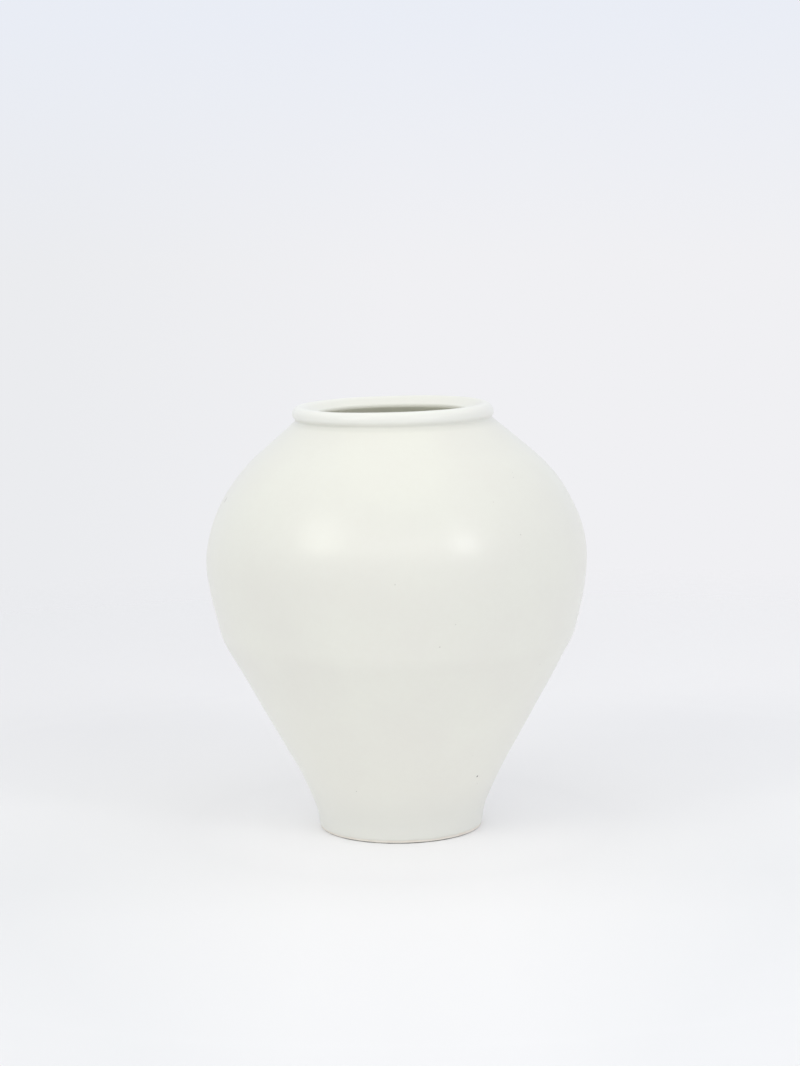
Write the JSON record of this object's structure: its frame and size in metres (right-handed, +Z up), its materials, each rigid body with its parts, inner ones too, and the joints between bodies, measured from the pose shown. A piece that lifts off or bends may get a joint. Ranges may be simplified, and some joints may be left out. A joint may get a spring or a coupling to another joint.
{
  "type": "porcelain jar",
  "caption": "White glazed porcelain jar with a round high shoulder, a rolled lip and a narrow foot, made of two luted bowls; it holds water, grain or cut stems.",
  "frame": {"origin": "centre of the foot's resting face, on the surface that the jar stands on", "axes": "+Z up along the jar's axis; the jar is a body of revolution, so X and Y are free"},
  "size_m": [0.2848, 0.2848, 0.32],
  "materials": {
    "porcelain_clay": "bare fired porcelain, matt and faintly gritty, cream with a brown blush at the foot",
    "slip": "fired clay slip, matt, finer than the wall",
    "satin_glaze": "satin milk-white glaze with soft blurred highlights, faint throwing rings and a few iron specks"
  },
  "bodies": {
    "root": {"foot_ring": "porcelain_clay", "foot_seam_slip": "slip", "lower_bowl": "porcelain_clay", "belly_seam_slip": "slip", "upper_bowl": "porcelain_clay", "lip_seam_slip": "slip", "lip_ring": "porcelain_clay", "outer_glaze": "satin_glaze", "inner_glaze": "satin_glaze", "foot_recess_glaze": "satin_glaze"}
  },
  "joints": []
}
